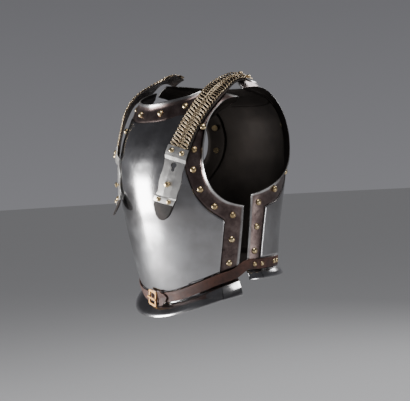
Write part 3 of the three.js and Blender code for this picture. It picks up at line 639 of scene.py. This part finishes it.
def make_strap(side_name, sign):
    """Backing leather, chain rings, end leather and the heads of one shoulder strap."""
    path = strap_path(sign)
    points, faces = strap_sheet(path, sign, LEATHER_START, STRAP_END, LEATHER_ROWS, full_width, LEATHER)
    make_piece(f"strap_backing_{side_name}", points, faces, "strap_leather",
               [f"strap_leather_{side_name}"], bevel=0.6)
    points, faces = chain_links(path, sign)
    chain = make_piece(f"strap_links_{side_name}", points, faces, "chain_brass",
                       [f"strap_chain_{side_name}"], sharp=80)
    fix_normals(chain)
    points, faces = strap_sheet(path, sign, 0, TIP_END, TIP_ROWS, tip_edges, TIP)
    make_piece(f"strap_end_leather_{side_name}", points, faces, "strap_leather",
               [f"strap_tip_{side_name}"], bevel=0.6)

    bracket, clip = (BRACKET_START + BRACKET_END) / 2, (PLATE_END + CLIP_END) / 2
    rear = (REAR_BRACKET_START + STRAP_END) / 2
    bracket_lift = LEATHER + GAP + CHAIN + GAP + SHEET
    clip_lift = TIP + 2 * GAP + SHEET
    spots = np.array([
        (bracket, 0.25, bracket_lift), (bracket, 0.75, bracket_lift),
        (clip, 0.25, clip_lift), (clip, 0.75, clip_lift),
        (rear, 0.2, bracket_lift), (rear, 0.8, bracket_lift)])
    centres, axes = path(*spots.T)
    points, faces = lathe(dome_profile(*STRAP_DOME), centres, axes, 18)
    make_piece(f"strap_heads_{side_name}", points, faces, "rivet_brass", sharp=60)


for side_name, sign in SIDES:
    make_strap(side_name, sign)


# ---- belt ----------------------------------------------------------------------------------

def belt_path(sign, start):
    """The belt's middle line through both plates' waists, and the same line moved outward."""
    turn = sign * np.array([start] + BELT_FRONT_ANGLES, float)
    z = rising(BREAST["waist"], turn)
    rear = sign * np.array(BELT_BACK_ANGLES, float)
    place = np.vstack([breast.at(turn, z, 0 * z + BELT_LIFT),
                       back.at(rear, BELT_BACK_Z + 0 * rear, BELT_LIFT + 0 * rear)])
    outward = np.vstack([breast.outward(turn, z), back.outward(rear, BELT_BACK_Z + 0 * rear)])
    outside = place + outward * 10

    def path(along, height, lift):
        along, height, lift = (np.asarray(v, float) for v in (along, height, lift))
        along, height, lift = np.broadcast_arrays(along, height, lift)
        point = curve(place, along)
        out = unit(curve(outside, along) - point)
        ahead = unit(curve(place, along + 1e-4) - curve(place, along - 1e-4))
        up = unit(np.cross(out, ahead) * sign)
        return point + up * height[..., None] + out * lift[..., None], out

    return path


def make_belt(side_name, sign, start):
    """A gently swollen strip of leather, and the heads that hold it at the back."""
    path = belt_path(sign, start)
    height = np.linspace(BELT_HEIGHT / 2, -BELT_HEIGHT / 2, BELT_ROWS)[:, None]
    along = np.linspace(0, 1, BELT_STEPS)[None, :]
    swell = BELT_SWELL * np.cos(height / BELT_HEIGHT * np.pi)
    points = path(along, height, BELT_THICKNESS - BELT_SWELL + swell)[0]
    points, _, faces = weld([(points, np.zeros(points.shape[:2]), sign < 0)])
    solid, walls = thicken(points, faces, BELT_THICKNESS - BELT_SLIM)
    first = len(BELT_FRONT_ANGLES) + 1
    count = len(BELT_BACK_ANGLES)
    stations = np.interp(-np.array(BELT_RIVET_ANGLES), -np.array(BELT_BACK_ANGLES, float),
                         first + np.arange(count)) / (first + count - 1)
    centres, axes = path(stations, 0, BELT_THICKNESS)
    heads, head_faces = lathe(dome_profile(*BELT_DOME), centres, axes, 16)
    make_piece(f"belt_strip_{side_name}", solid, walls, "belt_leather", [f"belt_{side_name}"],
               bevel=0.6)
    make_piece(f"belt_heads_{side_name}", heads, head_faces, "rivet_brass", sharp=60)


make_belt("left", 1, 0.5)
make_belt("right", -1, 1.5)


# ---- finishes ------------------------------------------------------------------------------

class Finish:
    """A material under construction: each method adds a node and returns its output."""

    def __init__(self, name, metallic, roughness, colour):
        self.material = bpy.data.materials.new(name)
        self.material.use_nodes = True
        self.tree = self.material.node_tree
        self.shader = self.tree.nodes["Principled BSDF"]
        self.shader.inputs["Metallic"].default_value = metallic
        self.shader.inputs["Roughness"].default_value = roughness
        self.shader.inputs["Base Color"].default_value = (*colour, 1)
        self.place = self.node("ShaderNodeTexCoord").outputs["Object"]

    def node(self, kind, **values):
        made = self.tree.nodes.new(kind)
        for key, value in values.items():
            setattr(made, key, value)
        return made

    def feed(self, socket, value):
        if isinstance(value, bpy.types.NodeSocket):
            self.tree.links.new(value, socket)
        elif isinstance(value, tuple) and len(value) == 3 and socket.type == "RGBA":
            socket.default_value = (*value, 1)
        else:
            socket.default_value = value

    def noise(self, scale, detail=4.0, rough=0.55, place=None):
        made = self.node("ShaderNodeTexNoise")
        self.feed(made.inputs["Vector"], place or self.place)
        for key, value in (("Scale", scale), ("Detail", detail), ("Roughness", rough)):
            made.inputs[key].default_value = value
        return made.outputs["Fac"]

    def stretch(self, scale):
        made = self.node("ShaderNodeMapping")
        self.feed(made.inputs["Vector"], self.place)
        made.inputs["Scale"].default_value = scale
        return made.outputs["Vector"]

    def fact(self, name):
        return self.node("ShaderNodeAttribute", attribute_name=name).outputs["Fac"]

    def ramp(self, value, low, high, start=0.0, end=1.0):
        made = self.node("ShaderNodeMapRange", interpolation_type="SMOOTHSTEP")
        self.feed(made.inputs["Value"], value)
        for key, number in (("From Min", low), ("From Max", high),
                            ("To Min", start), ("To Max", end)):
            made.inputs[key].default_value = number
        return made.outputs["Result"]

    def math(self, operation, a, b=0.0):
        made = self.node("ShaderNodeMath", operation=operation)
        self.feed(made.inputs[0], a)
        self.feed(made.inputs[1], b)
        return made.outputs[0]

    def mix(self, share, a, b):
        made = self.node("ShaderNodeMix", data_type="RGBA")
        self.feed(made.inputs["Factor"], share)
        self.feed(made.inputs[6], a)
        self.feed(made.inputs[7], b)
        return made.outputs[2]

    def colour(self, value):
        self.feed(self.shader.inputs["Base Color"], value)

    def roughness(self, value):
        self.feed(self.shader.inputs["Roughness"], value)

    def bump(self, height, strength, distance):
        made = self.node("ShaderNodeBump")
        made.inputs["Strength"].default_value = strength
        made.inputs["Distance"].default_value = distance
        self.feed(made.inputs["Height"], height)
        self.feed(self.shader.inputs["Normal"], made.outputs["Normal"])


def steel_finish():
    """Polished grey field with a soft mottle, a brown-purple patina on the band, a painted shadow line
    at the step, painted highlights on the rims and an inner face blackened, partly as painted shade."""
    f = Finish("plate_steel", 1.0, 0.2, (0.5, 0.5, 0.51))
    band, edge, step = f.fact("band"), f.fact("edge"), f.fact("step")
    inside = f.fact("inside")
    cloud = f.noise(9, 5, 0.6)
    fleck = f.noise(90, 4, 0.65)
    fine = f.noise(420, 3, 0.6, f.stretch((1, 1, 0.35)))
    field = f.mix(f.ramp(cloud, 0.35, 0.7), (0.40, 0.39, 0.39), (0.56, 0.56, 0.57))
    field = f.mix(f.ramp(fleck, 0.66, 0.8, 0, 0.35), field, (0.24, 0.21, 0.19))
    blotch = f.ramp(f.noise(28, 6, 0.7), 0.35, 0.68)
    patina = f.mix(blotch, (0.115, 0.082, 0.078), (0.26, 0.20, 0.185))
    patina = f.mix(f.ramp(fleck, 0.55, 0.72, 0, 0.6), patina, (0.045, 0.033, 0.032))
    colour = f.mix(band, field, patina)
    # Painted shadow: a near-black line at the foot of the step, where the raised field shades the band.
    near_step = f.math("ABSOLUTE", f.math("ADD", step, 0.3))
    colour = f.mix(f.ramp(near_step, 0.3, 1.3, 0.85, 0), colour, (0.02, 0.017, 0.016))
    # Painted highlight: a lighter, patchy colour on the rims near the free edge, standing in for the
    # light the turned lips catch.
    patch_mask = f.ramp(f.noise(45, 4), 0.25, 0.6, 0.55, 1)
    rim_highlight = f.math("MULTIPLY", f.ramp(edge, 2.0, 6.5, 1, 0), patch_mask)
    colour = f.mix(rim_highlight, colour, (0.62, 0.61, 0.60))
    # Near-black inner face: a blackened finish, darkened further as painted shade so the lamps don't
    # light it.
    black_inner_and_shade = f.mix(f.ramp(cloud, 0.3, 0.7), (0.014, 0.012, 0.011), (0.032, 0.027, 0.024))
    f.colour(f.mix(inside, colour, black_inner_and_shade))
    rough = f.ramp(cloud, 0.3, 0.7, 0.15, 0.25)
    rough = f.math("ADD", rough, f.math("MULTIPLY", band, 0.14))
    rough = f.math("ADD", rough, f.ramp(fleck, 0.45, 0.9, 0, 0.07))
    rough = f.math("SUBTRACT", rough, f.math("MULTIPLY", rim_highlight, 0.08))
    f.roughness(f.math("ADD", rough, f.math("MULTIPLY", inside, 0.45)))
    f.bump(f.math("ADD", fleck, f.math("MULTIPLY", fine, 0.6)), 0.045, 0.0006)
    return f.material


def brass_finish(name, bright, dark, rough):
    """Yellow metal with tarnish that darkens in clouds and small pits."""
    f = Finish(name, 1.0, rough, bright)
    cloud = f.noise(60, 5, 0.65)
    pit = f.noise(420, 3, 0.6)
    tone = f.mix(f.ramp(cloud, 0.35, 0.7, 0, 0.75), bright, dark)
    f.colour(f.mix(f.ramp(pit, 0.62, 0.75, 0, 0.7), tone, tuple(c * 0.3 for c in dark)))
    f.roughness(f.ramp(cloud, 0.3, 0.7, rough, rough + 0.18))
    f.bump(pit, 0.25, 0.0004)
    return f.material


def leather_finish(name, light, dark, rough):
    """Hide with pebbled grain, creases darkened as painted shade, and lighter scuffed patches."""
    f = Finish(name, 0.0, rough, light)
    cloud = f.noise(35, 5, 0.65)
    grain = f.node("ShaderNodeTexVoronoi", feature="DISTANCE_TO_EDGE")
    f.feed(grain.inputs["Vector"], f.place)
    grain.inputs["Scale"].default_value = 900
    pebble = f.ramp(grain.outputs["Distance"], 0.0, 0.18)
    crease = f.noise(160, 5, 0.7, f.stretch((1, 1, 3)))
    tone = f.mix(f.ramp(cloud, 0.3, 0.7), dark, light)
    # Painted shade: the creases that the bump dents are darkened in colour too.
    tone = f.mix(f.ramp(crease, 0.58, 0.7, 0, 0.8), tone, tuple(c * 0.35 for c in dark))
    patch_mask = f.math("MULTIPLY", f.ramp(cloud, 0.6, 0.75), 0.35)
    f.colour(f.mix(patch_mask, tone, tuple(min(1, c * 2.2) for c in light)))
    f.roughness(f.ramp(crease, 0.3, 0.7, rough - 0.12, rough + 0.1))
    f.bump(f.math("SUBTRACT", pebble, f.math("MULTIPLY", crease, 1.2)), 0.35, 0.0006)
    return f.material


def pale_and_highlit_finish():
    """Near-white sheet with fine brushing and small dark marks; the near-white colour is partly the
    plate's pale metal and partly a painted highlight.
    """
    f = Finish("strap_plate_pale_and_highlit", 1.0, 0.3, (0.86, 0.84, 0.8))
    brush = f.noise(300, 3, 0.6, f.stretch((1, 1, 0.2)))
    mark = f.noise(120, 5, 0.7)
    # Partly painted highlight: the base colour is pushed to near-white, the saturated shine of the
    # plate under the lamps, on top of its pale metal.
    f.colour(f.mix(f.ramp(mark, 0.64, 0.8, 0, 0.35), (0.93, 0.91, 0.87), (0.5, 0.44, 0.35)))
    f.roughness(f.ramp(mark, 0.35, 0.7, 0.3, 0.4))
    f.bump(brush, 0.12, 0.0004)
    return f.material


STEEL = steel_finish()
BRASS = brass_finish("rivet_brass", (0.78, 0.62, 0.36), (0.40, 0.27, 0.13), 0.22)
CHAIN_BRASS = brass_finish("chain_link_brass", (0.60, 0.49, 0.34), (0.30, 0.22, 0.14), 0.28)
BUCKLE_BRASS = brass_finish("buckle_brass", (0.62, 0.36, 0.15), (0.30, 0.13, 0.05), 0.32)
PALE_AND_HIGHLIT = pale_and_highlit_finish()
DARK_HIDE = leather_finish("strap_hide", (0.03, 0.018, 0.013), (0.011, 0.0075, 0.006), 0.62)
BELT_HIDE = leather_finish("belt_hide", (0.125, 0.047, 0.03), (0.05, 0.02, 0.014), 0.5)
FINISHES = dict(steel=STEEL, rivet_brass=BRASS, chain_brass=CHAIN_BRASS, bracket_brass=CHAIN_BRASS,
                strap_plate_metal=PALE_AND_HIGHLIT, strap_leather=DARK_HIDE, belt_leather=BELT_HIDE,
                buckle_brass=BUCKLE_BRASS)
slot_of = {row["node"]: row["material_slot"] for row in frame["record"]["subparts"]}


def dress(piece, slot_name):
    piece.data.materials.clear()
    piece.data.materials.append(FINISHES[slot_name])


for name, node in frame["nodes"].items():
    if node.type == "MESH":
        dress(node, slot_of[name])
for piece in list(bpy.context.scene.objects):
    if piece.type == "MESH" and piece.get("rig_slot") in FINISHES:
        dress(piece, piece["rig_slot"])


# ---- floor, light and camera ---------------------------------------------------------------

FLOOR_RADIUS, FLOOR_Z, FLOOR_SIDES = 14, -0.95, 96
FLOOR_COLOUR, FLOOR_GLOW = (0.5, 0.5, 0.51), 0.125
HORIZON, ZENITH, HORIZON_BAND = (0.21, 0.21, 0.225), (0.06, 0.06, 0.066), (-0.05, 0.35)
LIGHTS_AIM = Vector((0, 0, -0.24))
CAMERA_AZIMUTH, CAMERA_ELEVATION, CAMERA_ROLL = 52.0, 3.0, 3.2
CAMERA_DISTANCE, CAMERA_AIM = 2.7, Vector((0, 0, -0.245))
SENSOR_WIDTH, FOCAL_LENGTH = 36.0, 114.15


def floor_finish(name, colour):
    """Matt paper with a faint mottle and a little glow of its own."""
    f = Finish(name, 0.0, 0.9, colour)
    f.colour(f.mix(f.noise(1.5, 3), colour, tuple(c * 0.97 for c in colour)))
    f.shader.inputs["Emission Color"].default_value = (0.9, 0.9, 0.92, 1)
    f.shader.inputs["Emission Strength"].default_value = FLOOR_GLOW
    return f.material


def disc(name, radius, z, around):
    turn = np.linspace(0, 2 * np.pi, around, endpoint=False)
    points = np.stack([np.cos(turn) * radius, np.sin(turn) * radius, 0 * turn + z], -1)
    mesh = bpy.data.meshes.new(name)
    mesh.from_pydata(points.tolist(), [], [list(range(around))])
    made = bpy.data.objects.new(name, mesh)
    bpy.context.scene.collection.objects.link(made)
    return made


def backdrop():
    """A grey that darkens from the horizon upward."""
    world = bpy.data.worlds.new("studio")
    bpy.context.scene.world = world
    world.use_nodes = True
    sky = world.node_tree
    look = sky.nodes.new("ShaderNodeTexCoord")
    split = sky.nodes.new("ShaderNodeSeparateXYZ")
    sky.links.new(look.outputs["Generated"], split.inputs[0])
    height = sky.nodes.new("ShaderNodeMapRange")
    height.inputs["From Min"].default_value = HORIZON_BAND[0]
    height.inputs["From Max"].default_value = HORIZON_BAND[1]
    sky.links.new(split.outputs["Z"], height.inputs["Value"])
    tone = sky.nodes.new("ShaderNodeMix")
    tone.data_type = "RGBA"
    sky.links.new(height.outputs["Result"], tone.inputs["Factor"])
    tone.inputs[6].default_value = (*HORIZON, 1)
    tone.inputs[7].default_value = (*ZENITH, 1)
    sky.links.new(tone.outputs[2], sky.nodes["Background"].inputs["Color"])
    sky.nodes["Background"].inputs["Strength"].default_value = 1.0


def direction(azimuth, elevation):
    """Unit vector from the body outward. Azimuth 0 is in front, 90 at its left."""
    turn, climb = math.radians(azimuth), math.radians(elevation)
    return Vector((math.sin(turn) * math.cos(climb), -math.cos(turn) * math.cos(climb),
                   math.sin(climb)))


def softbox(name, azimuth, elevation, distance, width, height, power):
    """An area light that looks at the body's middle."""
    away = direction(azimuth, elevation)
    light = bpy.data.lights.new(name, "AREA")
    light.shape, light.size, light.size_y, light.energy = "RECTANGLE", width, height, power
    made = bpy.data.objects.new(name, light)
    made.location = LIGHTS_AIM + away * distance
    made.rotation_mode = "QUATERNION"
    made.rotation_quaternion = (-away).to_track_quat("-Z", "Y")
    bpy.context.scene.collection.objects.link(made)


def place_camera():
    """Looks at the aim from the azimuth and elevation, rolled about its own axis."""
    away = direction(CAMERA_AZIMUTH, CAMERA_ELEVATION)
    turn, roll = math.radians(CAMERA_AZIMUTH), math.radians(CAMERA_ROLL)
    right = Vector((math.cos(turn), math.sin(turn), 0))
    up = away.cross(right)
    turned_right = right * math.cos(roll) - up * math.sin(roll)
    turned_up = up * math.cos(roll) + right * math.sin(roll)
    place = CAMERA_AIM + away * CAMERA_DISTANCE
    lens = bpy.data.cameras.new("view_camera")
    lens.sensor_width, lens.lens, lens.clip_end = SENSOR_WIDTH, FOCAL_LENGTH, 60
    camera = bpy.data.objects.new("view_camera", lens)
    bpy.context.scene.collection.objects.link(camera)
    camera.matrix_world = Matrix(((turned_right.x, turned_up.x, away.x, place.x),
                                  (turned_right.y, turned_up.y, away.y, place.y),
                                  (turned_right.z, turned_up.z, away.z, place.z), (0, 0, 0, 1)))
    bpy.context.scene.camera = camera


floor = disc("studio_floor", FLOOR_RADIUS, FLOOR_Z, FLOOR_SIDES)
floor.data.materials.append(floor_finish("floor_paper", FLOOR_COLOUR))
backdrop()
softbox("key_left_of_camera", -36, -9, 2.2, 1.0, 1.0, 90)
softbox("fill_high", 75, 62, 2.4, 1.2, 0.9, 34)
softbox("low_right", 112, -12, 2.3, 0.35, 1.0, 9)
softbox("back_rim", 200, 30, 2.6, 1.2, 1.2, 30)
place_camera()
